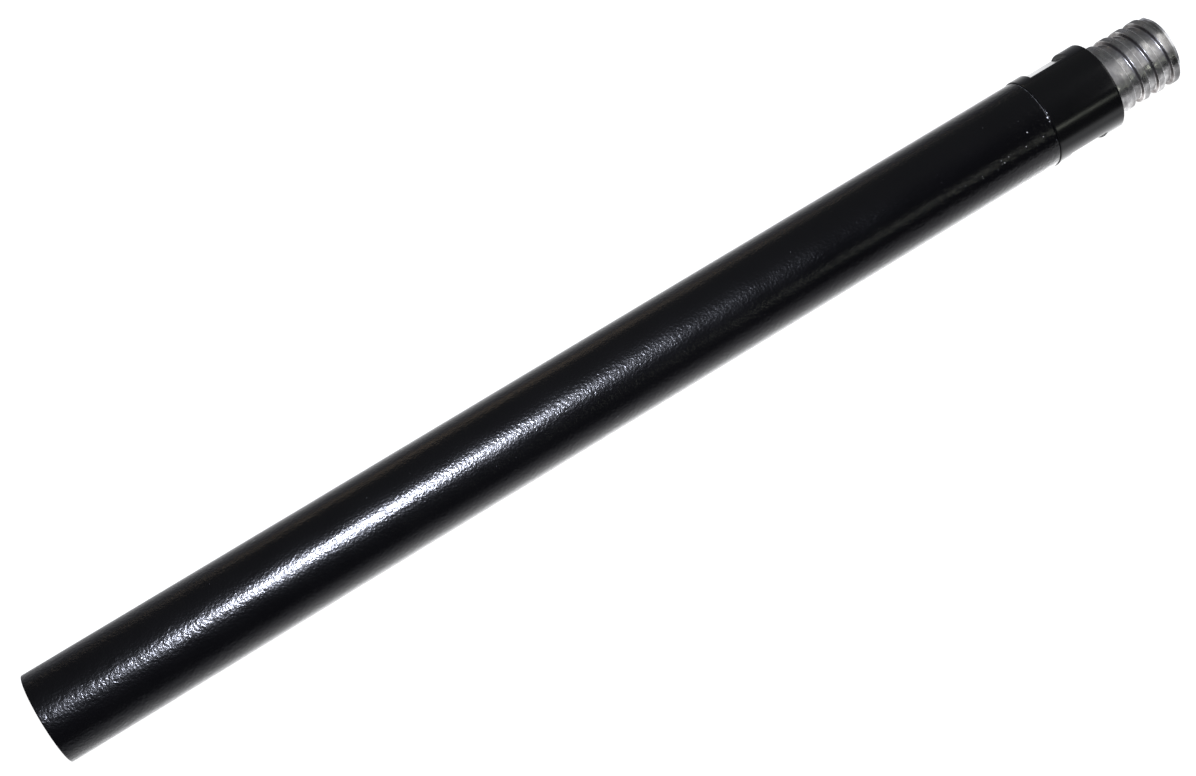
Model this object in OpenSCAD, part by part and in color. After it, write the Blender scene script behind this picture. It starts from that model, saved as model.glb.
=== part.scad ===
// Telescoping roller extension pole with an internal twist lock, slid fully in.
// The pole lies along +X, from the butt to the threaded head, and +Z is up.
// The origin is the centre of the butt face, on the pole's axis. Sizes are in millimetres.

/* [Outer tube] */
// Length of the outer tube, from the butt to its mouth
outer_len = 304.8; // [295:0.1:400]
// Outside diameter of the outer tube, coating included
outer_od = 25.5; // [25.4:0.02:26]
// Wall thickness of the outer tube
outer_wall = 1.0; // [0.9:0.05:1.1]

/* [Inner tube] */
// Outside diameter of the sliding tube
inner_od = 22.2; // [22:0.02:22.3]
// Wall thickness of the sliding tube
inner_wall = 0.9; // [0.8:0.05:1]
// How far the sliding tube pulls out
stroke = 220; // [150:1:222]

/* [Head collar] */
// Outside diameter of the collar at the head
collar_od = 26.04; // [26:0.02:27]
// Length of the collar, from the mouth of the outer tube to its end
collar_len = 21.2; // [19:0.1:26]
// Distance across the two grip flats
flats_across = 23.6; // [22.6:0.1:24.6]
// Distance from the collar's shoulder to the near end of a grip flat
flat_start = 3.8; // [2:0.1:6]
// Length of a grip flat
flat_len = 11.9; // [8:0.1:12]
// Roll of the flats about the pole; at zero they face +Y and -Y
head_roll = 19.8; // [-30:0.1:30]
// Length of the spigot that goes into the sliding tube
spigot_len = 30; // [26:1:36]

/* [Threaded tip] */
// Major diameter of the thread
thread_od = 20.56; // [19:0.02:20.6]
// Pitch of the thread
thread_pitch = 4.97; // [4.8:0.01:5.1]
// Depth of the thread
thread_depth = 1.27; // [1:0.01:1.4]
// Share of the pitch that is groove, measured on the crests
groove_share = 0.6; // [0.5:0.01:0.62]
// Flank angle, from the plane across the axis
flank_angle = 12; // [8:0.5:14.5]
// Plain land between the collar and the thread
land_len = 3.8; // [3:0.1:4]
// How much larger the land is than the thread, on diameter
land_step = 0.36; // [0.34:0.02:0.4]
// Distance that the tip stands out of the collar
tip_len = 21.77; // [21:0.01:23]
// Where the first groove starts along the upper side, from the collar
thread_phase = 4.96; // [4.9:0.01:5.4]

/* [Twist lock] */
// Offset of the lock's eccentric journal, towards +Y
lock_offset = 1.0; // [0.9:0.02:1.04]
// Outside diameter of the cam ring
cam_od = 22.4; // [22.3:0.02:22.4]
// Length of the cam ring
cam_len = 15.5; // [12:0.5:18]
// Length of the guide ring
guide_len = 11.8; // [10:0.1:13]
// Length of the liner in the tube's mouth
bushing_len = 24; // [16:1:26]
// Radial running clearance of sliding and turning pieces
run_gap = 0.08; // [0.06:0.01:0.1]
// Diameter of the two spring pins
pin_od = 4.0; // [3.5:0.1:4.4]

/* [Hidden] */
$fn = 96;

over = 1;      // how far a cutter passes a face
fuse = 0.5;    // overlap that joins two parts of one piece
reach = 20;    // half length of a cutter that crosses the whole pole

// radii
outer_r = outer_od / 2;
outer_ir = outer_r - outer_wall;
inner_r = inner_od / 2;
inner_ir = inner_r - inner_wall;
collar_r = collar_od / 2;
thread_r = thread_od / 2;
root_r = thread_r - thread_depth;
land_r = thread_r + land_step / 2;
shank_r = 7.5;        // tip's shank, and the collar's bore
tip_bore_r = 4.6;
journal_r = 8;        // spindle's round journal
eccentric_r = 6;      // spindle's eccentric journal
screw_r = 2;
cam_r = cam_od / 2;
pin_r = pin_od / 2;

// lengths and gaps along the pole
seam_gap = 0.12;      // between the tube's mouth and the collar
stroke_gap = 0.2;     // left between guide ring and liner at full stroke
shoulder_gap = 0.2;   // between guide ring and the eccentric journal's start
face_gap = 0.1;       // between other neighbouring faces of the lock
flange_len = 2.4;
washer_len = 1.0;
screw_head_len = 2.7;
spindle_plug_len = 20;    // how far the spindle goes into the sliding tube

// stations along the pole; the "start" of a piece is its face towards the butt
x_head = outer_len + seam_gap;                     // collar's shoulder
x_face = outer_len + collar_len;                   // collar's end face
x_spigot = x_head - spigot_len;                    // spigot's start
x_shank = x_spigot + 2;                            // tip shank's start
x_bush = outer_len - bushing_len;                  // liner's start
x_guide_end = x_bush - stroke - stroke_gap;        // guide ring's face towards the head
x_guide = x_guide_end - guide_len;                 // guide ring's start
x_flange = x_guide_end + face_gap;                 // spindle flange's start
x_inner = x_flange + flange_len;                   // sliding tube's start
x_journal = x_guide - shoulder_gap;                // round journal's start
x_cam = x_journal - face_gap - cam_len;            // cam ring's start
x_eccentric = x_cam - face_gap;                    // eccentric journal's start
x_washer = x_eccentric - washer_len;               // washer's start
x_screw = x_washer - screw_head_len;               // screw head's start
x_tip_pin = x_head - 16;
x_spindle_pin = x_inner + 10;

// puts a child that is built along +Z on the pole's axis, starting at x
module on_axis(x) translate([x, 0, 0]) rotate([0, 90, 0]) children();

// moves a child from the pole's axis to the eccentric journal's axis
module off_centre() translate([0, lock_offset, 0]) children();

// a tube with a small chamfer on all four edges
module tube(radius, bore_r, length, chamfer = 0.15) rotate_extrude()
    polygon([[bore_r, chamfer], [bore_r + chamfer, 0],
             [radius - chamfer, 0], [radius, chamfer],
             [radius, length - chamfer], [radius - chamfer, length],
             [bore_r + chamfer, length], [bore_r, length - chamfer]]);

// a rod; butt and head are the chamfers at its start and at its end
module rod(radius, length, butt = 0.3, head = 0.3) rotate_extrude()
    polygon([[0, 0], [radius - butt, 0], [radius, butt],
             [radius, length - head], [radius - head, length], [0, length]]);

// cutter for a pin's hole across the pole, along Z
module pin_hole(x) translate([x, 0, -reach]) cylinder(r = pin_r, h = 2 * reach);

// a rolled spring pin across the pole, along Z: a tube with chamfered ends, split on its +X side
module spring_pin(x) {
    half_len = inner_r - 0.3;
    length = 2 * half_len;
    bore_r = pin_r * 0.62;
    end_r = pin_r - 0.35;
    chamfer_len = 0.5;
    slit = 0.7;
    translate([x, 0, -half_len]) difference() {
        rotate_extrude($fn = 48)
            polygon([[bore_r, 0], [end_r, 0], [pin_r, chamfer_len],
                     [pin_r, length - chamfer_len], [end_r, length], [bore_r, length]]);
        translate([0, -slit / 2, -over]) cube([pin_r + over, slit, length + 2 * over]);
    }
}

// ---- body: outer ----
module outer_tube() color([0.03, 0.03, 0.035]) on_axis(0) tube(outer_r, outer_ir, outer_len);

// a cup that closes the butt and opens towards the head
plug_len = 16;
plug_floor = 2.4;
plug_wall = 1.8;
module butt_plug() color([0.06, 0.06, 0.06]) on_axis(0) difference() {
    rod(outer_ir, plug_len, butt = 0.4, head = 1.2);
    translate([0, 0, plug_floor]) cylinder(r = outer_ir - plug_wall, h = reach);
}

bushing_recess = 0.3;    // from the tube's mouth back to the liner's end
module mouth_bushing() color([0.85, 0.85, 0.82]) on_axis(x_bush) difference() {
    rod(outer_ir, bushing_len - bushing_recess, butt = 0.2, head = 0.2);
    translate([0, 0, -over]) cylinder(r = inner_r + run_gap, h = bushing_len + 2 * over);
}

// ---- body: guide ----
friction_r = 0.9;                                  // section radius of the friction ring
friction_centre_r = outer_ir - 0.05 - friction_r;  // its centre circle
seat_width = 2.2;                                  // groove that holds it
seat_r = friction_centre_r - friction_r - 0.02;    // floor of the groove

module guide_ring() color([0.88, 0.88, 0.84]) on_axis(x_guide) difference() {
    rod(outer_ir - run_gap, guide_len, butt = 0.5, head = 0.5);
    translate([0, 0, -over]) cylinder(r = journal_r + run_gap, h = guide_len + 2 * over);
    translate([0, 0, (guide_len - seat_width) / 2]) difference() {
        cylinder(r = outer_r, h = seat_width);
        translate([0, 0, -over]) cylinder(r = seat_r, h = 5);
    }
}

module friction_ring() color([0.05, 0.05, 0.05]) on_axis(x_guide + guide_len / 2)
    rotate_extrude() translate([friction_centre_r, 0]) circle(r = friction_r, $fn = 32);

// ---- body: inner ----
module inner_tube() color([0.72, 0.73, 0.75]) difference() {
    on_axis(x_inner) tube(inner_r, inner_ir, x_head - x_inner);
    pin_hole(x_tip_pin);
    pin_hole(x_spindle_pin);
}

// cutters for the two opposite flats
module grip_flats() {
    cut_depth = 10;
    rotate([head_roll, 0, 0]) for (y = [flats_across / 2, -flats_across / 2 - cut_depth])
        translate([x_head + flat_start, y, -reach]) cube([flat_len, cut_depth, 2 * reach]);
}

module head_collar() color([0.025, 0.025, 0.03]) difference() {
    union() {
        difference() {
            on_axis(x_head) rod(collar_r, x_face - x_head, butt = 0.1);
            grip_flats();
        }
        on_axis(x_spigot) rod(inner_ir, spigot_len + 1, butt = 0.8, head = 0);
    }
    // the bore passes both ends
    on_axis(x_spigot - over) cylinder(r = shank_r, h = spigot_len + collar_len + 5);
    pin_hole(x_tip_pin);
}

// The thread is a helical groove cut into a rod. Angles are in degrees along the helix,
// and angle zero is the pole's upper side.
turn_from = -300;
turn_to = 1290;
turn_step = 7.5;
turn_ease = 100;       // turn over which the groove sinks to full depth
start_lift = 0.35;     // height of the groove's floor above the crests at its start
cutter_out = 0.8;      // how far the cutter stands above the crests
groove_width = groove_share * thread_pitch;        // on the crests

function ease(angle) = min(1, max(0, (angle - turn_from) / turn_ease));
function half_width(radius) = groove_width / 2 + (radius - thread_r) * tan(flank_angle);

// a point on the cutter; side is -1 towards the collar, 1 towards the tip's end
function groove_point(angle, radius, side) =
    let (z = thread_phase + groove_width / 2 + thread_pitch * angle / 360)
    [radius * cos(angle), radius * sin(angle), z + side * half_width(radius)];

// the cutter's four-cornered section at one angle
function groove_section(angle) =
    let (floor_r = root_r + (1 - ease(angle)) * (thread_depth + start_lift),
         top_r = thread_r + cutter_out)
    [groove_point(angle, top_r, -1), groove_point(angle, floor_r, -1),
     groove_point(angle, floor_r, 1), groove_point(angle, top_r, 1)];

module thread_groove() {
    steps = floor((turn_to - turn_from) / turn_step);
    points = [for (i = [0:steps]) each groove_section(turn_from + i * turn_step)];
    last = 4 * steps;
    // two triangles join each side of a section to the next section
    sides = [for (i = [0:steps - 1], k = [0:3])
        let (this = 4 * i + k, beside = 4 * i + (k + 1) % 4)
        each [[this, this + 4, beside + 4], [this, beside + 4, beside]]];
    faces = concat([[0, 1, 2, 3]], sides, [[last + 3, last + 2, last + 1, last]]);
    polyhedron(points = points, faces = faces, convexity = 10);
}

module threaded_tip() color([0.66, 0.66, 0.68]) {
    shank_len = spigot_len + collar_len;
    difference() {
        union() {
            on_axis(x_shank) rod(shank_r, shank_len, butt = 0.8, head = 0);
            on_axis(x_face) difference() {
                rod(thread_r, tip_len, butt = 0, head = 0.6);
                // turns angle zero to the pole's upper side
                rotate([0, 0, 180]) thread_groove();
            }
            on_axis(x_face) cylinder(r = land_r, h = land_len);
        }
        // blind bore, open towards the butt
        on_axis(x_shank - over) cylinder(r = tip_bore_r, h = shank_len - 4);
        pin_hole(x_tip_pin);
    }
}

module tip_pin() color([0.6, 0.6, 0.62]) spring_pin(x_tip_pin);

screw_hole_len = 16;
module lock_spindle() color([0.8, 0.8, 0.76]) difference() {
    union() {
        on_axis(x_flange) cylinder(r = inner_r - 0.1, h = flange_len);
        on_axis(x_inner - fuse) rod(inner_ir, spindle_plug_len + fuse, butt = 0, head = 0.8);
        on_axis(x_journal) cylinder(r = journal_r, h = x_flange - x_journal + fuse);
        off_centre() on_axis(x_eccentric)
            rod(eccentric_r, x_journal - x_eccentric + fuse, head = 0);
    }
    off_centre() on_axis(x_eccentric - over) cylinder(r = screw_r, h = screw_hole_len + over);
    pin_hole(x_spindle_pin);
}

module spindle_pin() color([0.6, 0.6, 0.62]) spring_pin(x_spindle_pin);

module cam_washer() color([0.7, 0.7, 0.7]) off_centre() on_axis(x_washer) difference() {
    rod(8.6, washer_len, butt = 0.15, head = 0.15);
    translate([0, 0, -over]) cylinder(r = screw_r + 0.2, h = washer_len + 2 * over);
}

// a screw with a cross slot in its head, which faces the butt
screw_head_r = 4.2;
screw_len = 15;        // under the head
slot_depth = 1.5;
slot_len = 4.6;
slot_width = 0.9;
module cam_screw() color([0.62, 0.62, 0.6]) off_centre() difference() {
    union() {
        on_axis(x_screw) rod(screw_head_r, screw_head_len, butt = 0.9, head = 0.2);
        on_axis(x_washer - fuse) rod(screw_r, screw_len + fuse, butt = 0, head = 0.8);
    }
    for (a = [0, 90]) translate([x_screw, 0, 0]) rotate([a, 0, 0])
        cube([2 * slot_depth, slot_len, slot_width], center = true);
}

// ---- body: cam ----
grip_depth = 0.45;     // of the twelve grooves around the outside
grip_width = 1.2;
module cam_ring() color([0.9, 0.9, 0.86]) difference() {
    on_axis(x_cam) rod(cam_r, cam_len, butt = 0.5, head = 0.5);
    off_centre() on_axis(x_cam - over)
        cylinder(r = eccentric_r + run_gap, h = cam_len + 2 * over);
    for (a = [15:30:345]) rotate([a, 0, 0])
        translate([x_cam - over, cam_r - grip_depth, -grip_width / 2])
            cube([cam_len + 2 * over, 2, grip_width]);
}

outer_tube();
butt_plug();
mouth_bushing();
guide_ring();
friction_ring();
inner_tube();
head_collar();
threaded_tip();
tip_pin();
lock_spindle();
spindle_pin();
cam_washer();
cam_screw();
cam_ring();
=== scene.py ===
# A telescopic pole with a twist lock, lying collapsed on a white floor.
# Its axis is the X axis: the butt is at x = 0 and the threaded tip points to +X, with +Z up.
# Angles round the pole are zero on its upper side and grow by the right-hand rule about +X.
# Sizes of pieces are in millimetres; materials, camera, floor and lights use metres.
import math
import bpy
import bmesh
import numpy as np
from mathutils import Matrix, Vector


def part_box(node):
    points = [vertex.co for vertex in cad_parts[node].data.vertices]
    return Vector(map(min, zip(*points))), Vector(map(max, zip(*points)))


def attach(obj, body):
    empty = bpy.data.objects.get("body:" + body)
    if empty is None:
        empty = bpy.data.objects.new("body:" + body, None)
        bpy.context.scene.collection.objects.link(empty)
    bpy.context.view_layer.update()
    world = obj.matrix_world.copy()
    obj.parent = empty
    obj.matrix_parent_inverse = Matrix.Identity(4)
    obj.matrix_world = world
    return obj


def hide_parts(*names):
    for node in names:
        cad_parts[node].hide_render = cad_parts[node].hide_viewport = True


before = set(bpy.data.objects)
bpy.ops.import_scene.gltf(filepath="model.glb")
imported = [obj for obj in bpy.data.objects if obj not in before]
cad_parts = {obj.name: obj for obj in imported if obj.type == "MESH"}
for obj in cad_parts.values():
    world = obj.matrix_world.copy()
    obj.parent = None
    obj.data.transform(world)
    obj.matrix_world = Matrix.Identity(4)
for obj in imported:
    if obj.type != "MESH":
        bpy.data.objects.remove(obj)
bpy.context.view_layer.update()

MM = 0.001
TURN = 2 * math.pi

# ---------------------------------------------------------------- sizes, read from the frame
_, tube_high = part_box("outer_tube")
collar_low, collar_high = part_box("head_collar")
tip_low, tip_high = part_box("threaded_tip")
_, plug_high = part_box("butt_plug")
_, inner_tube_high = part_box("inner_tube")
tube_length = tube_high.x / MM                 # mouth of the outer tube
tube_radius = tube_high.z / MM
bore_radius = plug_high.z / MM                 # the plug fills the outer tube's bore
collar_radius = max(collar_high.z, collar_high.y) / MM
if abs(collar_radius - 13.02) < 0.2:           # a box near the nominal radius means the nominal
    collar_radius = 13.02
face_x = collar_high.x / MM                    # end face of the collar
head_x = inner_tube_high.x / MM                # shoulder of the collar
spigot_x = collar_low.x / MM
tip_x = tip_high.x / MM
shank_x = tip_low.x / MM
floor_z = -collar_radius * MM - 0.00002

# thread: crest and root radius, and where the groove's left edge crosses angle zero past the face
THREAD_RADIUS, ROOT_RADIUS, PITCH, PHASE = 10.28, 9.01, 4.97, 4.96
GROOVE_SHARE = 0.6                             # groove's width as a share of the pitch
FLANK = math.radians(12)
CREST_START = -0.10                            # where one pitch of the profile begins

# the collar's two flats: distance from the axis, distance from the shoulder, length, roll
FLAT_DEPTH, FLAT_START, FLAT_LENGTH = 11.8, 3.8, 11.9
FLAT_ROLL = math.radians(19.8)
# the flats' normals as angles; +Y is at -90 degrees
FLAT_NORMALS = [-(math.pi / 2 - FLAT_ROLL) + side for side in (0, math.pi)]

# chips in the black finish: x (mm), angle (radians), size (mm)
TUBE_CHIPS = [
    (304.908, 0.19525, 0.24), (304.578, 0.28094, 0.32), (304.782, 0.075608, 0.10),
    (304.511, 0.37208, 0.12), (297.536, 0.32471, 0.16),
]
COLLAR_CHIPS = [(304.806, 0.27093, 0.20), (304.976, 0.18702, 0.12)]


# ---------------------------------------------------------------- mesh helpers
def wave_field(count, x_max, turns_max, seed):
    """A smooth field over x (mm) and angle, periodic in the angle: a sum of random waves."""
    random = np.random.RandomState(seed)
    x_rates = random.uniform(-x_max, x_max, count)
    turn_rates = random.randint(0, turns_max + 1, count)
    phases = random.uniform(0, TURN, count)
    heights = random.uniform(0.5, 1.0, count)
    heights /= math.sqrt((heights ** 2).sum() / 2)

    def field(x, angle):
        total = np.zeros(np.broadcast(x, angle).shape)
        for x_rate, turn_rate, phase, height in zip(x_rates, turn_rates, phases, heights):
            total += height * np.cos(x_rate * x + turn_rate * angle + phase)
        return total

    return field


def arc(start, corner, end, steps=4):
    """(x, radius) points of a rounded corner from start to end, pulled toward corner."""
    points = []
    for i in range(steps + 1):
        t = i / steps
        a, b, c = (1 - t) ** 2, 2 * t * (1 - t), t * t
        points.append(tuple(a * s + b * m + c * e for s, m, e in zip(start, corner, end)))
    return points


def ring_points(xs, radii, angles):
    """Vertices in metres from mm grids of one row per ring and one column per angle."""
    grids = np.broadcast_arrays(xs, -radii * np.sin(angles), radii * np.cos(angles))
    return np.stack(grids, -1).reshape(-1, 3) * MM


def ring_faces(rings, count, skip=None):
    """Quads between successive rings, the last joined to the first. Band skip stays open."""
    faces = []
    for j in range(rings):
        if j == skip:
            continue
        a, b = j * count, ((j + 1) % rings) * count
        for i in range(count):
            k = (i + 1) % count
            faces.append((a + i, a + k, b + k, b + i))
    return faces


def new_mesh(name, verts, faces):
    """A mesh and an editable copy of it."""
    mesh = bpy.data.meshes.new(name)
    mesh.from_pydata([tuple(v) for v in verts], [], faces)
    bm = bmesh.new()
    bm.from_mesh(mesh)
    return mesh, bm


def finish_object(mesh, bm, sharp):
    """Writes bm back and links an object, smooth but for edges over sharp degrees."""
    bmesh.ops.recalc_face_normals(bm, faces=bm.faces)
    bm.to_mesh(mesh)
    bm.free()
    mesh.shade_smooth()
    mesh.set_sharp_from_angle(angle=math.radians(sharp))
    obj = bpy.data.objects.new(mesh.name, mesh)
    bpy.context.scene.collection.objects.link(obj)
    return obj


def ring_object(name, xs, radii, angles, sharp):
    """A closed skin of rings round the pole's axis."""
    verts = ring_points(xs[:, None], radii, angles)
    mesh, bm = new_mesh(name, verts, ring_faces(len(xs), len(angles)))
    return finish_object(mesh, bm, sharp)


# ---------------------------------------------------------------- outer tube
def make_outer_tube():
    angles = np.linspace(0, TURN, 256, endpoint=False)
    outer, bore, end = tube_radius, bore_radius, tube_length
    skin = outer - 0.004
    outline = arc((0.02, bore + 0.20), (0.0, bore + 0.24), (0.0, bore + 0.30), 1)
    outline += arc((0.0, outer - 0.14), (0.01, outer - 0.014), (0.14, skin), 5)
    outline += [(x, skin) for x in np.linspace(0.6, end - 0.6, 620)]
    outline += arc((end - 0.08, skin), (end - 0.004, outer - 0.008), (end, outer - 0.09), 5)
    outline += [(end, bore + 0.12), (end - 0.1, bore)]
    outline += [(x, bore) for x in np.linspace(end - 20, 20, 12)]
    outline += [(0.3, bore)]
    xs = np.array([p[0] for p in outline])
    radii = np.array([p[1] for p in outline])[:, None]
    waviness = wave_field(count=40, x_max=0.35, turns_max=7, seed=1)    # of the drawn tube
    coating = wave_field(count=120, x_max=2.6, turns_max=34, seed=2)    # the coating's flow
    x_grid, angle_grid = xs[:, None], angles[None, :]
    relief = 0.004 * waviness(x_grid, angle_grid) + 0.0011 * coating(x_grid, angle_grid)
    fade = np.clip(np.minimum(xs - 0.3, end - 0.3 - xs) / 4, 0, 1)[:, None]
    uneven = np.minimum(radii - 0.008 + fade * relief, outer)
    radii = np.where(radii > outer - 0.3, uneven, radii)
    return ring_object("outer_tube_shell", xs, radii, angles, sharp=50)


# ---------------------------------------------------------------- head collar
def collar_angles():
    """Even angles, with extra ones close to the long edges of the flats."""
    half_width = math.acos(FLAT_DEPTH / collar_radius)
    extra = []
    for normal in FLAT_NORMALS:
        for side in (-1, 1):
            for step in (-0.03, -0.018, -0.009, -0.004, 0, 0.004, 0.009, 0.018, 0.03):
                extra.append((normal + side * half_width + step) % TURN)
    even = np.linspace(0, TURN, 240, endpoint=False)
    angles = np.unique(np.round(np.concatenate([even, extra]), 5))
    kept = [angles[0]]
    for angle in angles[1:]:
        if angle - kept[-1] > 0.0025:
            kept.append(angle)
    return np.array(kept)


def flat_radii(angles):
    """The collar's radius at each angle where the flats are cut, with their edges broken."""
    edge_break = 0.05
    radii = np.full(len(angles), collar_radius)
    for normal in FLAT_NORMALS:
        cosine = np.cos(angles - normal)
        facing = cosine > 0.5
        flat = np.where(facing, FLAT_DEPTH / np.where(facing, cosine, 1), 99)
        soft = 0.5 * (radii + flat - np.sqrt((radii - flat) ** 2 + edge_break * edge_break))
        radii = np.where(flat < radii + 0.6, soft, radii)
    return radii


# end wall of a flat: distance into the flat, share of the cut's depth
FLAT_WALL = [(-0.16, 0.0), (-0.07, 0.025), (-0.02, 0.10), (0.0, 0.25),
             (0.02, 0.75), (0.06, 0.90), (0.13, 0.975), (0.24, 1.0)]


def make_collar():
    angles = collar_angles()
    cut = flat_radii(angles)
    full = collar_radius
    flat_from = head_x + FLAT_START
    flat_to = flat_from + FLAT_LENGTH

    def wall(x, sign):
        return [(x + sign * dx, full * (1 - share) + cut * share) for dx, share in FLAT_WALL]

    # rows of x and radius; the radius is one number or one per angle
    rows = arc((head_x, full - 0.09), (head_x + 0.004, full - 0.008), (head_x + 0.08, full - 0.002))
    rows += [(x, full) for x in np.linspace(head_x + 0.5, flat_from - 0.5, 8)]
    rows += wall(flat_from, 1)
    rows += [(x, cut) for x in np.linspace(flat_from + 0.6, flat_to - 0.6, 16)]
    rows += wall(flat_to, -1)[::-1]
    rows += [(x, full) for x in np.linspace(flat_to + 0.5, face_x - 0.7, 8)]
    rows += arc((face_x - 0.34, full - 0.002), (face_x - 0.02, full - 0.02),
                (face_x, full - 0.36), 6)
    # the end face, the bore back to the spigot's end, and the spigot up to the shoulder
    rows += [
        (face_x, 11.6), (face_x, 10.55), (face_x - 0.25, 10.3), (face_x - 0.4, 9.4),
        (face_x - 0.4, 7.6), (face_x - 0.8, 7.52), (face_x - 12, 7.52),
        (spigot_x + 0.5, 7.52), (spigot_x, 7.9), (spigot_x, 9.5), (spigot_x + 0.8, 10.19),
        (head_x - 15, 10.19), (head_x - 0.4, 10.19), (head_x, 10.35), (head_x, 11.8),
    ]
    xs = np.array([x for x, _ in rows])
    radii = np.array([np.broadcast_to(radius, len(angles)) for _, radius in rows])
    waviness = wave_field(count=30, x_max=0.5, turns_max=5, seed=11)
    relief = 0.003 * np.clip(waviness(xs[:, None], angles[None, :]), -1.8, 1.8)
    radii = np.where(radii > 11.9, radii - 0.006 + relief, radii)
    return ring_object("head_collar_body", xs, radii, angles, sharp=28)


# ---------------------------------------------------------------- threaded tip
def thread_profile():
    """One pitch as places (mm past the groove's left edge) and radii."""
    half = GROOVE_SHARE * PITCH / 2
    half_foot = half - (THREAD_RADIUS - ROOT_RADIUS) * math.tan(FLANK)
    crest, root, width = THREAD_RADIUS, ROOT_RADIUS, 2 * half
    foot_1, foot_2 = half - half_foot, half + half_foot
    points = [(CREST_START, crest)]
    points += arc((-0.085, crest), (0.0, crest), (0.03, crest - 0.12))
    points += arc((foot_1 - 0.05, root + 0.24), (foot_1, root), (foot_1 + 0.26, root), 5)
    points += [(x, root - 0.02 * math.sin(math.pi * (x - 0.5) / 2))
               for x in np.linspace(0.75, width - 0.75, 10)]
    points += arc((foot_2 - 0.26, root), (foot_2, root), (foot_2 + 0.05, root + 0.24), 5)
    points += arc((width - 0.03, crest - 0.12), (width, crest), (width + 0.085, crest))
    points += [(x, crest) for x in np.linspace(width + 0.085, PITCH + CREST_START, 14)[1:-1]]
    places, radii = np.array(points).T
    distinct = np.concatenate([[True], np.diff(places) > 1e-4])
    return places[distinct], radii[distinct]


def tip_radii(x, advance, angles, places, radii, length):
    """Radius of the casting at x (mm past the collar's face) and angle."""
    along = x - PHASE - advance
    pitch_number = np.floor((along - CREST_START) / PITCH)
    radius = np.interp(along - pitch_number * PITCH, np.r_[places, PITCH + CREST_START],
                       np.r_[radii, THREAD_RADIUS])
    # the groove deepens smoothly over its first 110 degrees
    degrees = np.degrees(angles) + 360 * pitch_number
    run_in = np.clip((degrees + 290) / 110, 0, 1)
    run_in = run_in * run_in * (3 - 2 * run_in)
    radius = THREAD_RADIUS - (THREAD_RADIUS - radius) * run_in
    # the land behind the thread is a shade larger, and eases into the crests
    land = np.clip((3.8 - x) / 2.2, 0, 1)
    radius = radius + land * 0.14 * (radius > THREAD_RADIUS - 0.4)
    # a chamfer breaks the crests at the end
    return np.minimum(radius, THREAD_RADIUS - np.clip(x - (length - 0.80), 0, 9) * 0.9)


def helix_faces(rows, count, per_pitch):
    """Quads of a helical sheet; after one turn it closes on itself one pitch further on."""
    faces = []
    for j in range(rows - 1):
        for i in range(count - 1):
            a = j * count + i
            faces.append((a, a + 1, a + count + 1, a + count))
    for j in range(rows - 1 - per_pitch):
        a, b = j * count + count - 1, (j + per_pitch) * count
        faces.append((a, b, b + count, a + count))
    return faces


def close_end(bm, open_edges, x_end, steps):
    """Flattens the open edges near x_end onto it, then carries them through (x, radius)
    steps, each point keeping its own angle, and fills what is left."""
    plane = x_end * MM
    loop = [e for e in open_edges if all(abs(v.co.x - plane) < 0.002 for v in e.verts)]
    for edge in loop:
        for vert in edge.verts:
            vert.co.x = plane
    for x, radius in steps:
        made = bmesh.ops.extrude_edge_only(bm, edges=loop)["geom"]
        loop = [g for g in made if isinstance(g, bmesh.types.BMEdge) and g.is_boundary]
        for vert in [g for g in made if isinstance(g, bmesh.types.BMVert)]:
            angle = math.atan2(vert.co.y, vert.co.z)
            vert.co = Vector((x * MM, radius * MM * math.sin(angle),
                              radius * MM * math.cos(angle)))
    bmesh.ops.holes_fill(bm, edges=loop, sides=0)


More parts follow.
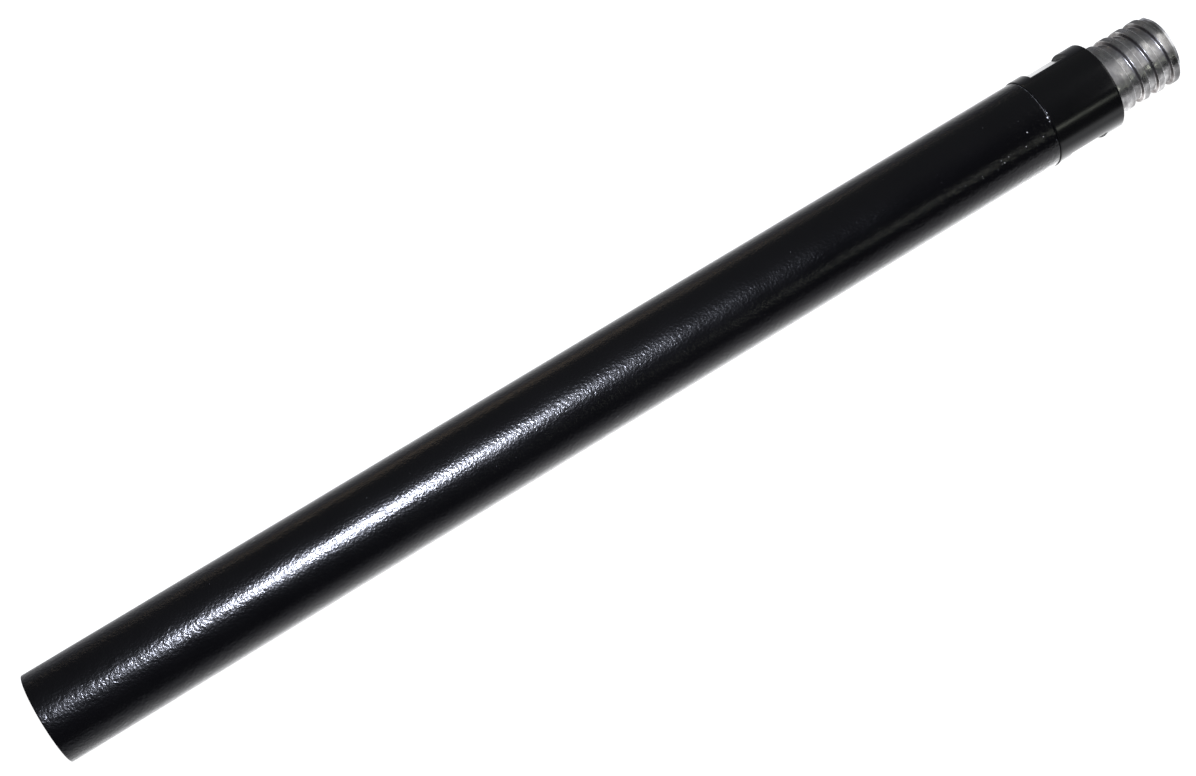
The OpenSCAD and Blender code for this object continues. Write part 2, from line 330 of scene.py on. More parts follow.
def make_tip():
    places, radii = thread_profile()
    length = tip_x - face_x
    count = 300
    angles = np.linspace(0, TURN, count, endpoint=False)
    advance = (angles / TURN * PITCH)[None, :]
    first = int(math.floor((0 - PHASE - PITCH) / PITCH)) - 1
    last = int(math.ceil((length - PHASE) / PITCH)) + 1
    rows = np.concatenate([places + PITCH * k for k in range(first, last + 1)])
    x_free = rows[:, None] + PHASE + advance
    x = np.clip(x_free, 0.0, length)
    radius = tip_radii(x, advance, angles[None, :], places, radii, length)
    fine = wave_field(count=90, x_max=3.2, turns_max=46, seed=21)
    soft = wave_field(count=30, x_max=0.9, turns_max=9, seed=22)
    relief = 0.005 * fine(x, angles[None, :]) + 0.011 * soft(x, angles[None, :])
    radius = np.minimum(radius - 0.02 + relief * np.clip(x / 0.5, 0, 1), THREAD_RADIUS + 0.17)
    # cells wholly beyond either end are left out
    flat_x = x_free.reshape(-1)
    faces = []
    for face in helix_faces(len(rows), count, len(places)):
        corners = flat_x[list(face)]
        if corners.max() > 0 and corners.min() < length:
            faces.append(face)
    verts = ring_points(x + face_x, radius, angles)
    mesh, bm = new_mesh("threaded_tip_casting", verts, faces)
    bmesh.ops.remove_doubles(bm, verts=bm.verts, dist=4e-6)
    loose = [v for v in bm.verts if not v.link_faces]
    bmesh.ops.delete(bm, geom=loose, context="VERTS")
    bmesh.ops.dissolve_degenerate(bm, edges=bm.edges, dist=1e-7)
    open_edges = [e for e in bm.edges if e.is_boundary]
    # the end face, with a shallow round recess in its middle
    close_end(bm, open_edges, tip_x, [
        (tip_x, 8.6), (tip_x, 7.0), (tip_x, 5.2), (tip_x, 3.6), (tip_x - 0.06, 3.45),
        (tip_x - 0.3, 3.3), (tip_x - 0.34, 2.2), (tip_x - 0.34, 0.9)])
    # the hollow shank inside the collar
    close_end(bm, open_edges, face_x, [
        (face_x, 9.4), (face_x - 0.05, 7.6), (face_x - 0.3, 7.46), (face_x - 20, 7.46),
        (shank_x + 0.7, 7.46), (shank_x, 6.8), (shank_x, 4.8), (shank_x + 0.3, 4.6),
        (face_x - 8, 4.5), (face_x - 7.2, 4.0), (face_x - 7, 1.0)])
    return finish_object(mesh, bm, sharp=42)


# ---------------------------------------------------------------- butt plug
def make_plug():
    count = 192
    angles = np.linspace(0, TURN, count, endpoint=False)
    bore = bore_radius
    # (x, radius) from the open rim along the outside to the middle of the end face
    outside = [(16.0, bore - 1.9), (16.0, bore - 1.3), (15.0, bore - 0.02), (9, bore - 0.02),
               (1.2, bore - 0.02)]
    outside += arc((0.02, bore - 0.45), (0.0, bore - 0.02), (0.3, bore - 0.01))[::-1]
    outside += [(0.02, bore - 0.9), (0.02, 9.9), (0.05, 9.75), (0.32, 9.55), (0.36, 9.3),
                (0.36, 3.0), (0.36, 1.35), (0.30, 1.2), (0.12, 1.1), (0.10, 0.9)]
    # and from the middle of the inside back toward the rim
    inside = [(2.4, 0.8), (2.4, 5), (2.4, bore - 2.4), (2.9, bore - 1.9)]
    rows = np.array(outside + inside)
    inner_ring = len(outside)
    verts = list(ring_points(rows[:, :1], rows[:, 1:], angles))
    faces = ring_faces(len(rows), count, skip=inner_ring - 1)
    outer_centre = len(verts)
    verts += [(0.10 * MM, 0, 0), (2.4 * MM, 0, 0)]
    for i in range(count):
        k = (i + 1) % count
        for ring, centre in ((inner_ring - 1, outer_centre), (inner_ring, outer_centre + 1)):
            faces.append((ring * count + i, ring * count + k, centre))
    mesh, bm = new_mesh("butt_plug_moulding", verts, faces)
    return finish_object(mesh, bm, sharp=32)


# ---------------------------------------------------------------- node helpers
class Graph:
    """Short calls that add nodes to a tree. A value may be a number or another node's output."""

    def __init__(self, tree):
        self.tree = tree

    def put(self, socket, value):
        if isinstance(value, bpy.types.NodeSocket):
            self.tree.links.new(value, socket)
        elif value is not None:
            socket.default_value = value

    def node(self, kind, inputs=None, **settings):
        node = self.tree.nodes.new(kind)
        for name, value in settings.items():
            setattr(node, name, value)
        for key, value in (inputs or {}).items():
            self.put(node.inputs[key], value)
        return node

    def math(self, operation, a, b=0.0, c=0.0, clamp=False):
        return self.node("ShaderNodeMath", {0: a, 1: b, 2: c},
                         operation=operation, use_clamp=clamp).outputs[0]

    def add(self, a, b):
        return self.math("ADD", a, b)

    def sub(self, a, b):
        return self.math("SUBTRACT", a, b)

    def mul(self, a, b):
        return self.math("MULTIPLY", a, b)

    def div(self, a, b):
        return self.math("DIVIDE", a, b)

    def max(self, a, b, clamp=False):
        return self.math("MAXIMUM", a, b, clamp=clamp)

    def abs(self, a):
        return self.math("ABSOLUTE", a)

    def away(self, value, centre):
        return self.abs(self.sub(value, centre))

    def ramp(self, value, span, to=(0.0, 1.0), kind="LINEAR"):
        """Carries the range span onto the range to, held at both ends."""
        return self.node("ShaderNodeMapRange", dict(enumerate((value, *span, *to))),
                         interpolation_type=kind, clamp=True).outputs[0]

    def ease(self, value, span, to=(0.0, 1.0)):
        """A ramp with smooth ends."""
        return self.ramp(value, span, to, "SMOOTHSTEP")

    def mix(self, share, first, second):
        """first where share is 0, second where it is 1."""
        first, second = ((*c, 1.0) if isinstance(c, tuple) else c for c in (first, second))
        return self.node("ShaderNodeMix", {0: share, 6: first, 7: second},
                         data_type="RGBA").outputs[2]

    def split(self, vector):
        return self.node("ShaderNodeSeparateXYZ", {0: vector}).outputs


class Shader(Graph):
    """One material: a Principled surface textured in the row frame, in metres."""

    def __init__(self, name):
        self.material = bpy.data.materials.new(name)
        self.material.use_nodes = True
        super().__init__(self.material.node_tree)
        self.tree.nodes.clear()
        output = self.node("ShaderNodeOutputMaterial")
        self.surface = self.node("ShaderNodeBsdfPrincipled")
        self.put(output.inputs[0], self.surface.outputs[0])
        self.place = self.node("ShaderNodeTexCoord").outputs["Object"]

    def set(self, **values):
        for name, value in values.items():
            self.put(self.surface.inputs[name.replace("_", " ")], value)

    def xyz(self):
        return self.split(self.place)

    def mapping(self, scale, turn=0.0, shift=(0, 0, 0), vector=None):
        """Scales, turns about Z (radians) and shifts the texture space."""
        return self.node("ShaderNodeMapping", {
            "Scale": scale, "Rotation": (0, 0, turn), "Location": shift,
            "Vector": vector or self.place}).outputs[0]

    def noise(self, scale, detail=2.0, rough=0.5, vector=None, distortion=0.0):
        return self.node("ShaderNodeTexNoise", {
            "Scale": scale, "Detail": detail, "Roughness": rough, "Distortion": distortion,
            "Vector": vector or self.place}).outputs[0]

    def voronoi(self, scale, vector=None):
        return self.node("ShaderNodeTexVoronoi", {
            "Scale": scale, "Randomness": 1.0, "Vector": vector or self.place}, feature="F1")

    def around(self):
        """(x, arc length round the tube, 0) in metres, to follow the surface, and the angle."""
        x, y, z = self.xyz()
        angle = self.math("ARCTAN2", self.mul(y, -1.0), z)
        arc_length = self.mul(angle, tube_radius * MM)
        flow = self.node("ShaderNodeCombineXYZ", {0: x, 1: arc_length, 2: 0.0}).outputs[0]
        return flow, angle

    def radius(self):
        """Distance from the pole's axis, in millimetres."""
        _, y, z = self.xyz()
        return self.mul(self.math("SQRT", self.add(self.mul(y, y), self.mul(z, z))), 1000.0)

    def bump(self, height, distance, normal=None):
        return self.node("ShaderNodeBump", {
            "Strength": 1.0, "Distance": distance, "Height": height,
            "Normal": normal}).outputs[0]

    def specks(self, cell, size, keep, vector=None):
        """Sparse round specks: 1 inside. cell and size in metres; share keep of cells has one."""
        cells = self.voronoi(1.0 / cell, vector)
        inside = self.ramp(cells.outputs["Distance"], span=(size / cell, size / cell * 0.6))
        draw = self.split(cells.outputs["Color"])[0]
        return self.mul(inside, self.math("LESS_THAN", draw, keep))

    def scratches(self, flow, stretch, scale, cut):
        """Thin marks along the pole, where stretched noise passes cut."""
        lengthways = self.mapping(scale=(*stretch, 1.0), vector=flow)
        lines = self.noise(scale=scale, detail=3.0, rough=0.7, vector=lengthways)
        return self.ramp(lines, span=cut)

    def add_chips(self, marks, chips, radius):
        """Ragged spots at the listed places on a cylinder, joined to marks."""
        for x, angle, size in chips:
            size *= MM
            place = (x * MM, -radius * MM * math.sin(angle), radius * MM * math.cos(angle))
            distance = self.node("ShaderNodeVectorMath", {0: self.place, 1: place},
                                 operation="DISTANCE").outputs["Value"]
            ragged = self.mul(self.sub(self.noise(scale=2600, rough=0.6), 0.5), size * 1.3)
            distance = self.add(distance, ragged)
            marks = self.max(marks, self.ramp(distance, span=(size, size * 0.7)))
        return marks

    def paint(self, obj, slot):
        obj.data.materials.clear()
        obj.data.materials.append(self.material)


# ---------------------------------------------------------------- materials of the new pieces
def coat_material():
    """Black coating of the outer tube."""
    n = Shader("black_coating")
    x = n.xyz()[0]
    flow, angle = n.around()
    peel = n.noise(scale=1400, rough=0.55)
    fine = n.noise(scale=3300, rough=0.6)
    dimple = n.noise(scale=520, detail=1.0)
    to_butt = n.ramp(x, span=(0.0, 0.10), to=(1.0, 0.0))
    to_mouth = n.ease(x, span=(0.17, 0.30))
    # relief: peel all over, dimples toward the butt, slanting wrinkles toward the mouth
    relief = n.add(n.mul(peel, 1.0), n.mul(fine, 0.16))
    relief = n.add(relief, n.mul(n.mul(dimple, to_butt), 1.1))
    slant = n.mapping(scale=(1.0, 0.45, 1.0), turn=math.radians(38), vector=flow)
    wrinkle = n.noise(scale=900, detail=3.0, rough=0.6, vector=slant, distortion=0.6)
    relief = n.add(relief, n.mul(n.mul(wrinkle, to_mouth), 0.8))
    normal = n.bump(relief, distance=0.000088)
    # handling scratches, mostly along the pole, in patches
    scratch = n.scratches(flow, stretch=(9.0, 260.0), scale=6.0, cut=(0.68, 0.72))
    patch = n.ease(n.noise(scale=28, rough=0.6), span=(0.52, 0.66))
    scratch = n.mul(scratch, patch)
    normal = n.bump(scratch, distance=-0.000004, normal=normal)
    dust = n.specks(cell=0.0042, size=0.00011, keep=0.18)
    fine_dust = n.specks(cell=0.0018, size=0.00005, keep=0.10)
    # small chips thicken over the last millimetre before the mouth
    chip_zone = n.ramp(x, span=((tube_length - 1.2) * MM, (tube_length - 0.15) * MM))
    chip_spots = n.ramp(n.noise(scale=1500, detail=3.0, rough=0.65), span=(0.69, 0.72))
    chips = n.add_chips(n.mul(chip_zone, chip_spots), TUBE_CHIPS, tube_radius)
    # the mouth's edge is worn to a pale line, except on the side turned to -Y
    worn = n.mul(n.ramp(x, span=((tube_length - 0.17) * MM, (tube_length - 0.09) * MM)),
                 n.ramp(angle, span=(0.42, 0.30)))
    worn = n.mul(worn, n.ramp(n.noise(scale=700, detail=3.0, rough=0.6),
                              span=(0.36, 0.52), to=(0.06, 0.28)))
    # pale specks painted in a band just short of the mouth, where the window's streak lies: a
    # painted sparkle
    band = n.mul(n.ramp(x, span=(0.272, 0.296)),
                 n.ramp(n.away(angle, centre=0.62), span=(0.10, 0.02)))
    painted_sparkle = n.mul(n.mul(n.specks(cell=0.0008, size=0.00014, keep=0.50), band), 0.90)
    # marks: dust, chips and the worn edge, together with the painted sparkle
    marks = n.max(n.max(n.max(dust, fine_dust), painted_sparkle), n.max(chips, worn), clamp=True)
    black = n.mix(n.noise(scale=60, detail=3.0, rough=0.6),
                  (0.0012, 0.0012, 0.0016), (0.0024, 0.0023, 0.0028))
    colour = n.mix(marks, black, (0.62, 0.62, 0.64))
    # glossier toward the mouth, duller in scratches and marks
    rough = n.add(n.sub(0.17, n.mul(to_mouth, 0.08)),
                  n.mul(n.noise(scale=90, detail=3.0, rough=0.6), 0.12))
    rough = n.add(rough, n.mul(scratch, 0.14))
    rough = n.add(rough, n.mul(marks, 0.35))
    n.set(Base_Color=colour, Roughness=rough, Normal=normal, IOR=1.5)
    return n


def collar_material():
    n = Shader("collar_black")
    flow, _ = n.around()
    soft = n.noise(scale=420)
    fine = n.noise(scale=5200, rough=0.6)
    normal = n.bump(n.add(n.mul(soft, 0.35), n.mul(fine, 0.12)), distance=0.000012)
    scratch = n.scratches(flow, stretch=(14.0, 300.0), scale=5.0, cut=(0.69, 0.73))
    normal = n.bump(scratch, distance=-0.000003, normal=normal)
    dust = n.specks(cell=0.003, size=0.00006, keep=0.12)
    chips = n.add_chips(dust, COLLAR_CHIPS, collar_radius)
    # the flats lie inside the full radius and are a little glossier
    radius = n.radius()
    flat = n.ramp(radius, span=(collar_radius - 0.05, collar_radius - 0.16))
    black = n.mix(n.noise(scale=140, detail=3.0, rough=0.6),
                  (0.0014, 0.0014, 0.0016), (0.0026, 0.0026, 0.0028))
    colour = n.mix(chips, black, (0.60, 0.60, 0.62))
    rough = n.add(0.15, n.mul(n.noise(scale=160, detail=3.0, rough=0.6), 0.08))
    rough = n.sub(rough, n.mul(flat, 0.04))
    rough = n.add(rough, n.mul(chips, 0.35))
    # the cutter left the flats' end walls coarse and dull
    facing_x = n.split(n.node("ShaderNodeTexCoord").outputs["Normal"])[0]
    wall = n.mul(n.ramp(n.abs(facing_x), span=(0.55, 0.85)), n.ramp(radius, span=(11.7, 11.8)))
    rough = n.add(rough, n.mul(wall, 0.35))
    n.set(Base_Color=colour, Roughness=rough, Normal=normal, IOR=1.5,
          Specular_IOR_Level=n.sub(0.5, n.mul(wall, 0.34)))
    return n


def cast_material():
    n = Shader("cast_aluminium")
    flow, angle = n.around()
    cloud = n.noise(scale=230, detail=4.0, rough=0.60)
    patch = n.noise(scale=380, detail=3.0, rough=0.6, distortion=0.4,
                    vector=n.mapping(scale=(1.0, 0.55, 1.0), vector=flow))
    grain = n.noise(scale=2600, detail=3.0, rough=0.6)
    tiny = n.noise(scale=7500, rough=0.6)
    flow_mark = n.noise(scale=330, detail=3.0, rough=0.6,
                        vector=n.mapping(scale=(2.6, 0.45, 1.0), vector=flow))
    pits = n.specks(cell=0.0011, size=0.00010, keep=0.30)
    small_pits = n.specks(cell=0.0006, size=0.00006, keep=0.25)
    glints = n.specks(cell=0.0009, size=0.00007, keep=0.16,
                      vector=n.mapping(scale=(1, 1, 1), shift=(0.013, 0.007, 0.003)))
    # the die's chill leaves smooth bright skin beside duller, grainier patches
    dull = n.ease(n.add(n.mul(cloud, 0.55), n.mul(patch, 0.45)), span=(0.38, 0.62))
    relief = n.add(n.mul(grain, 0.6), n.mul(tiny, 0.25))
    relief = n.add(n.mul(relief, n.add(0.5, dull)), n.mul(cloud, 0.9))
    relief = n.sub(relief, n.mul(n.max(pits, small_pits), 1.0))
    relief = n.add(relief, n.mul(glints, 0.8))
    normal = n.bump(relief, distance=0.000015)
    radius = n.radius()
    deep = n.ramp(radius, span=(THREAD_RADIUS - 0.15, ROOT_RADIUS + 0.05))
    # the thread's flanks, between crest and root, which are painted dark below as painted shade
    wall = n.mul(n.ramp(radius, span=(THREAD_RADIUS - 0.16, THREAD_RADIUS - 0.40)),
                 n.ramp(radius, span=(ROOT_RADIUS - 0.02, ROOT_RADIUS + 0.24)))
    # place along the thread: 0 at the groove's left edge, growing toward the tip
    along = n.sub(n.mul(n.xyz()[0], 1000.0), face_x + PHASE)
    turns = n.div(n.sub(along, n.mul(angle, PITCH / TURN)), PITCH)
    place = n.mul(n.sub(n.add(turns, 0.5), n.math("FLOOR", n.add(turns, 0.5))), PITCH)
    place = n.sub(place, PITCH / 2)
    grooved = n.ramp(along, span=(-2.2, -0.6))
    # the crests' edge at the groove, painted near white below: partly wear, partly a painted
    # highlight
    crest_edge = n.mul(n.ramp(n.abs(n.add(place, 0.05)), span=(0.07, 0.14), to=(1.0, 0.0)),
                       grooved)
    # a band just past the groove's left edge, painted dark below: painted shade in the concave
    # corner, with some dirt
    corner = n.mul(n.ramp(n.away(place, centre=0.26), span=(0.10, 0.30), to=(1.0, 0.0)), grooved)
    colour = n.mix(dull, (0.68, 0.675, 0.67), (0.36, 0.352, 0.345))
    colour = n.mix(n.mul(n.ramp(flow_mark, span=(0.46, 0.60)), 0.40), colour,
                   (0.26, 0.255, 0.26))
    # painted shade: the flanks darkened
    colour = n.mix(n.mul(wall, 0.60), colour, (0.075, 0.058, 0.055))
    # painted shade, with some dirt, in the groove's corner
    colour = n.mix(n.mul(corner, 0.55), colour, (0.10, 0.095, 0.095))
    edge_wear_and_highlight = n.ramp(n.noise(scale=1500, rough=0.6), span=(0.35, 0.60), to=(0.45, 0.95))
    colour = n.mix(n.mul(crest_edge, edge_wear_and_highlight), colour, (0.96, 0.96, 0.97))
    # darker just before the end
    last = n.ramp(n.xyz()[0], span=((tip_x - 3.4) * MM, (tip_x - 2.0) * MM), to=(0.0, 0.62))
    colour = n.mix(last, colour, (0.14, 0.138, 0.14))
    colour = n.mix(n.mul(n.max(pits, small_pits), 0.60), colour, (0.12, 0.115, 0.115))
    colour = n.mix(glints, colour, (0.95, 0.95, 0.96))
    # painted highlights: a bright line where the chamfer starts, and the chamfer painted pale
    rim = n.ramp(n.away(n.xyz()[0], centre=(tip_x - 0.84) * MM),
                 span=(0.00008, 0.00015), to=(1.0, 0.0))
    rim = n.mul(rim, n.ramp(radius, span=(THREAD_RADIUS - 0.34, THREAD_RADIUS - 0.24),
                            to=(0.0, 0.95)))
    colour = n.mix(rim, colour, (0.97, 0.97, 0.98))
    chamfer = n.ramp(n.xyz()[0], span=((tip_x - 0.72) * MM, (tip_x - 0.62) * MM), to=(0.0, 0.8))
    colour = n.mix(chamfer, colour, (0.86, 0.87, 0.89))
    rough = n.add(n.mul(dull, 0.16), n.add(0.18, n.mul(grain, 0.12)))
    rough = n.add(rough, n.mul(deep, 0.03))
    rough = n.sub(rough, n.mul(glints, 0.12))
    n.set(Base_Color=colour, Roughness=rough, Normal=normal, Metallic=1.0,
          Specular_Tint=(0.42, 0.42, 0.425, 1))
    return n


# ---------------------------------------------------------------- materials of the CAD pieces
def drawn_material():
    """Zinc-plated tube with drawing lines along it and faint rings round it."""
    n = Shader("zinc_plated_tube")
    flow, _ = n.around()
    lines = n.noise(scale=5.0, detail=4.0, rough=0.65,
                    vector=n.mapping(scale=(12.0, 900.0, 1.0), vector=flow))
    cloud = n.noise(scale=70, detail=4.0, rough=0.6)
    spangle = n.split(n.voronoi(scale=420).outputs["Color"])[0]
    relief = n.add(lines, n.mul(n.noise(scale=1800, rough=0.6), 0.25))
    normal = n.bump(relief, distance=0.000006)
    colour = n.mix(cloud, (0.50, 0.51, 0.53), (0.66, 0.67, 0.69))
    colour = n.mix(n.mul(spangle, 0.12), colour, (0.74, 0.75, 0.78))
    rings = n.noise(scale=5.0, detail=3.0, rough=0.7,
                    vector=n.mapping(scale=(420.0, 5.0, 1.0), vector=flow))
    rings = n.ramp(rings, span=(0.62, 0.70))
    rough = n.add(n.add(0.22, n.mul(lines, 0.14)), n.mul(rings, 0.10))
    n.set(Base_Color=colour, Roughness=rough, Normal=normal, Metallic=1.0)
    return n


def plastic_material(name, low, high, rough, subsurface=0.0):
    """Moulded plastic mottled between two colours, with specks of dirt."""
    n = Shader(name)
    mottle = n.noise(scale=160, detail=4.0, rough=0.6)
    texture = n.noise(scale=3800, detail=3.0, rough=0.6)
    wave = n.noise(scale=260)
    relief = n.add(n.mul(texture, 0.6), wave)
    colour = n.mix(mottle, low, high)
    dirt = n.specks(cell=0.0017, size=0.00006, keep=0.14)
    colour = n.mix(n.mul(dirt, 0.6), colour, tuple(c * 0.35 for c in low))
    rough = n.add(rough, n.mul(texture, 0.12))
    n.set(Base_Color=colour, Roughness=rough, Normal=n.bump(relief, distance=0.000006))
    if subsurface:
        n.set(Subsurface_Weight=subsurface, Subsurface_Radius=(0.9, 0.8, 0.6),
              Subsurface_Scale=0.0012)
    return n


def metal_material(name, low, high, rough, stretch):
    """Bare metal clouded between two colours, with stretched lines."""
    n = Shader(name)
    cloud = n.noise(scale=500, detail=4.0, rough=0.6)
    lines = n.noise(scale=2200, detail=3.0, rough=0.6, vector=n.mapping(scale=stretch))
    colour = n.mix(cloud, low, high)
    relief = n.add(lines, n.mul(cloud, 0.5))
    rough = n.add(rough, n.mul(lines, 0.16))
    n.set(Base_Color=colour, Roughness=rough, Normal=n.bump(relief, distance=0.000006),
          Metallic=1.0)
    return n


def paint_cad_pieces():
    shaders = {
        "inner_tube": drawn_material(),
        "mouth_bushing": plastic_material("natural_nylon", low=(0.66, 0.64, 0.57),
                                          high=(0.76, 0.75, 0.69), rough=0.38, subsurface=0.25),
        "lock_spindle": plastic_material("spindle_nylon", low=(0.52, 0.52, 0.49),
                                         high=(0.64, 0.64, 0.60), rough=0.40, subsurface=0.15),
        "cam_ring": plastic_material("cam_acetal", low=(0.78, 0.78, 0.75),
                                     high=(0.86, 0.86, 0.83), rough=0.33, subsurface=0.25),
        "friction_ring": plastic_material("black_rubber", low=(0.012, 0.012, 0.012),
                                          high=(0.024, 0.024, 0.024), rough=0.62),
        "tip_pin": metal_material("spring_steel", low=(0.30, 0.30, 0.31),
                                  high=(0.44, 0.44, 0.45), rough=0.28, stretch=(1, 1, 0.1)),
        "cam_washer": metal_material("zinc_hardware", low=(0.52, 0.53, 0.50),
                                     high=(0.70, 0.70, 0.66), rough=0.26, stretch=(1, 0.2, 0.2)),
    }
    shaders["guide_ring"] = shaders["mouth_bushing"]
    shaders["spindle_pin"] = shaders["tip_pin"]
    shaders["cam_screw"] = shaders["cam_washer"]
    for name, shader in shaders.items():
        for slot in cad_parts[name].material_slots:
            slot.material = shader.material


# ---------------------------------------------------------------- camera
CAMERA_PLACE = Vector((0.079750949, -0.136048592, 0.558734454))
CAMERA_TURN = Matrix(((0.84702541, 0.51108981, -0.14606557),
                      (-0.53155238, 0.81448440, -0.2325236),
                      (0.00012768664, 0.27459490, 0.96156)))


def make_camera():
    data = bpy.data.cameras.new("camera")
    data.sensor_fit = "HORIZONTAL"
    data.sensor_width = 36.0
    data.lens = 66.2287466
    data.shift_x = -0.00142140468
    data.shift_y = 0.00117056856
    data.clip_start = 0.01
    camera = bpy.data.objects.new("camera", data)
    camera.matrix_world = Matrix.Translation(CAMERA_PLACE) @ CAMERA_TURN.to_4x4()
    bpy.context.scene.collection.objects.link(camera)
    bpy.context.scene.camera = camera


# ---------------------------------------------------------------- floor
POLE_MIDDLE, POLE_HALF = 0.17, 0.19            # the part of X the floor's glow is laid along
GLOW_NEAR, GLOW_HALF, GLOW_FAR = 4.4, 0.021, 0.06    # peak, distance of half, far level


def floor_glow(g):
    """Emission strengths: as the pole's reflections see the floor, and as the camera does."""
    x, y, _ = g.split(g.node("ShaderNodeNewGeometry").outputs["Position"])
    # the floor is brightest by the pole and falls off with distance from it
    side = g.abs(y)
    past_end = g.max(g.sub(g.away(x, centre=POLE_MIDDLE), POLE_HALF), 0.0)
    distance = g.math("SQRT", g.add(g.mul(side, side), g.mul(past_end, past_end)))
    fall = g.div(GLOW_NEAR, g.add(1.0, g.math("POWER", g.div(distance, GLOW_HALF), 2.2)))
    glow = g.add(fall, GLOW_FAR)
    # dimmer toward the butt and on the +Y side
    glow = g.mul(glow, g.ease(x, span=(-0.02, 0.12), to=(0.45, 1.0)))
    glow = g.mul(glow, g.ease(y, span=(0.0, 0.02), to=(1.0, 0.52)))
    # dimmer along the thread, most on the +Y side
    behind = g.ease(y, span=(-0.004, 0.010))
    tip_dim = g.add(g.mul(behind, g.ease(x, span=(0.318, 0.338), to=(1.0, 0.25))),
                    g.mul(g.sub(1.0, behind), g.ease(x, span=(0.318, 0.345), to=(1.0, 0.62))))
    # lit again past the thread, where the end's chamfer catches it
    front = g.mul(g.ease(x, span=(0.30, 0.36), to=(0.0, 0.50)),
                  g.ease(y, span=(-0.075, -0.055), to=(1.0, 0.0)))
    patch = g.mul(g.ease(x, span=(0.362, 0.380), to=(0.0, 2.0)),
                  g.ease(side, span=(0.045, 0.075), to=(1.0, 0.0)))
    glow = g.add(g.mul(glow, tip_dim), g.add(patch, front))
    # beyond the collapsed pole's end the floor is plain again, for the extended poses
    glow = g.mul(glow, g.ease(x, span=(0.41, 0.46), to=(1.0, 0.30)))
    return glow, g.add(g.mul(fall, 0.03), 0.93)


def make_floor():
    mesh = bpy.data.meshes.new("floor")
    bm = bmesh.new()
    bmesh.ops.create_grid(bm, x_segments=8, y_segments=8, size=5.0)
    bm.to_mesh(mesh)
    bm.free()
    floor = bpy.data.objects.new("floor", mesh)
    floor.location = (POLE_MIDDLE, 0, floor_z)
    bpy.context.scene.collection.objects.link(floor)
    material = bpy.data.materials.new("floor_white")
    material.use_nodes = True
    g = Graph(material.node_tree)
    surface = g.tree.nodes["Principled BSDF"].inputs
    surface["Roughness"].default_value = 0.9
    surface["Specular IOR Level"].default_value = 0.1
    surface["Emission Color"].default_value = (1, 1, 1, 1)
    mirrored, seen = floor_glow(g)
    to_camera = g.node("ShaderNodeLightPath").outputs["Is Camera Ray"]
    strength = g.node("ShaderNodeMix", {0: to_camera, 2: mirrored, 3: seen}).outputs[0]
    g.put(surface["Emission Strength"], strength)
    g.put(surface["Base Color"], g.mix(to_camera, (0.12, 0.12, 0.12), (0.14, 0.14, 0.14)))
    mesh.materials.append(material)


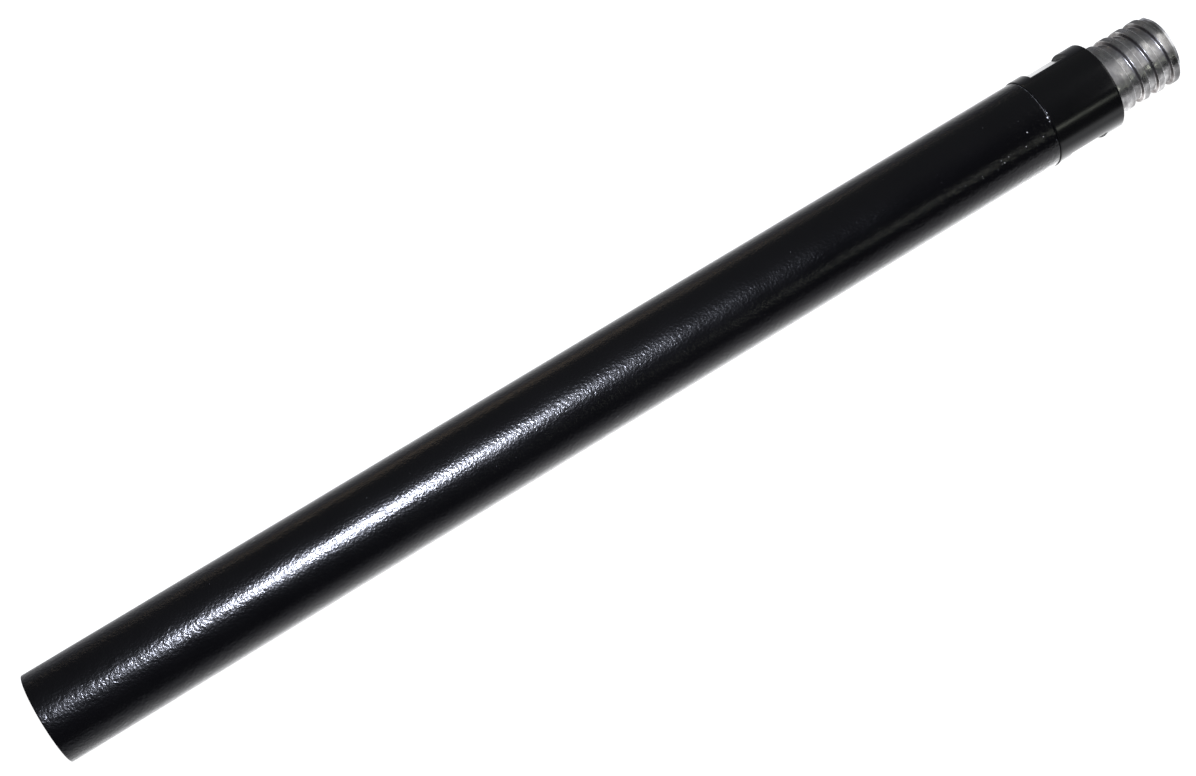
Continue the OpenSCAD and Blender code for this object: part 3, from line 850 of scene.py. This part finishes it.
# ---------------------------------------------------------------- world
def make_world():
    """White to the camera, an even grey to diffuse rays and a dim room to reflections."""
    world = bpy.data.worlds.new("studio")
    bpy.context.scene.world = world
    world.use_nodes = True
    g = Graph(world.node_tree)
    g.tree.nodes.clear()

    def pair(a, b, operation="MULTIPLY"):
        return g.math(operation, a, b, None)

    output = g.node("ShaderNodeOutputWorld")
    white = g.node("ShaderNodeBackground", {0: (0.99, 0.99, 0.99, 1)})
    room = g.node("ShaderNodeBackground")
    x, y, z = g.split(g.node("ShaderNodeTexCoord").outputs["Generated"])
    # the room is paler toward +Y, with a warm strip low on that side
    level = pair(g.ease(y, span=(-0.35, 0.45), to=(0.018, 0.105)),
                 g.ease(x, span=(-0.15, 0.25), to=(0.75, 1.25)))
    strip = pair(
        pair(g.ease(z, span=(-0.02, 0.02)), g.ease(z, span=(0.12, 0.05))),
        pair(pair(g.ease(y, span=(0.3, 0.6)), g.ease(x, span=(-0.13, 0.02))),
             g.ease(x, span=(0.40, 0.12))))
    colour = g.mix(strip, (0.95, 0.98, 1.0), (1.0, 0.74, 0.50))
    # an olive window low on the -Y side, mirrored along the collar and the tube's mouth
    slope = pair(y, pair(z, 0.02, "MAXIMUM"), "DIVIDE")
    window = pair(pair(g.ease(slope, span=(-1.21, -1.29)), g.ease(slope, span=(-1.62, -1.51))),
                  pair(g.ease(x, span=(0.285, 0.35)), g.ease(x, span=(0.415, 0.34))))
    g.put(room.inputs[0], g.mix(window, colour, (0.95, 1.0, 0.78)))
    strip_strength, window_strength = 1.7, 5.4
    glare = pair(level, pair(strip, strip_strength), "ADD")
    g.put(room.inputs[1], pair(glare, pair(window, window_strength), "ADD"))
    ambient = g.node("ShaderNodeBackground", {1: 0.35})
    path = g.node("ShaderNodeLightPath").outputs
    unseen = g.node("ShaderNodeMixShader", {
        0: path["Is Diffuse Ray"], 1: room.outputs[0], 2: ambient.outputs[0]})
    final = g.node("ShaderNodeMixShader", {
        0: path["Is Camera Ray"], 1: unseen.outputs[0], 2: white.outputs[0]})
    g.put(output.inputs[0], final.outputs[0])


# ---------------------------------------------------------------- lights
def area_light(name, place, target, size, energy, color, size_y=None):
    """A disk, or a rectangle when size_y is given, aimed at target and unseen by the camera."""
    data = bpy.data.lights.new(name, "AREA")
    data.energy = energy
    data.color = color
    data.shape = "RECTANGLE" if size_y else "DISK"
    data.size = size
    if size_y:
        data.size_y = size_y
    light = bpy.data.objects.new(name, data)
    bpy.context.scene.collection.objects.link(light)
    light.location = place
    light.rotation_euler = (target - place).to_track_quat("-Z", "Y").to_euler()
    light.visible_camera = False


def make_lights():
    camera_up = CAMERA_TURN @ Vector((0, 1, 0))
    area_light("flash", place=CAMERA_PLACE + 0.062 * camera_up - Vector((0.010, 0, 0)),
               target=Vector((POLE_MIDDLE, 0, 0)), size=0.020, energy=5.5,
               color=(0.81, 0.85, 1.0))
    # a pale card above and past the thread's end, mirrored in the bare metal as a bright band
    area_light("tip_card", place=Vector((0.442, -0.016, 0.105)),
               target=Vector((0.442, -0.016, 0.0)), size=0.130, size_y=0.120, energy=0.065,
               color=(1.0, 0.99, 0.97))


# ---------------------------------------------------------------- assembly
tube = make_outer_tube()
collar = make_collar()
tip = make_tip()
plug = make_plug()
make_camera()

coat_material().paint(tube, "black_coating")
collar_material().paint(collar, "collar_black")
cast_material().paint(tip, "cast_aluminium")
plastic_material("black_polyethylene", low=(0.018, 0.018, 0.019), high=(0.030, 0.030, 0.032),
                 rough=0.42).paint(plug, "black_polyethylene")
paint_cad_pieces()

# new piece, the body it moves with, the CAD node it replaces
for piece, body, node in (
    (tube, "outer", "outer_tube"),
    (plug, "outer", "butt_plug"),
    (collar, "inner", "head_collar"),
    (tip, "inner", "threaded_tip"),
):
    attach(piece, body)
    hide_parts(node)

make_floor()
make_world()
make_lights()

view = bpy.context.scene.view_settings
view.view_transform = "Standard"
view.look = "None"
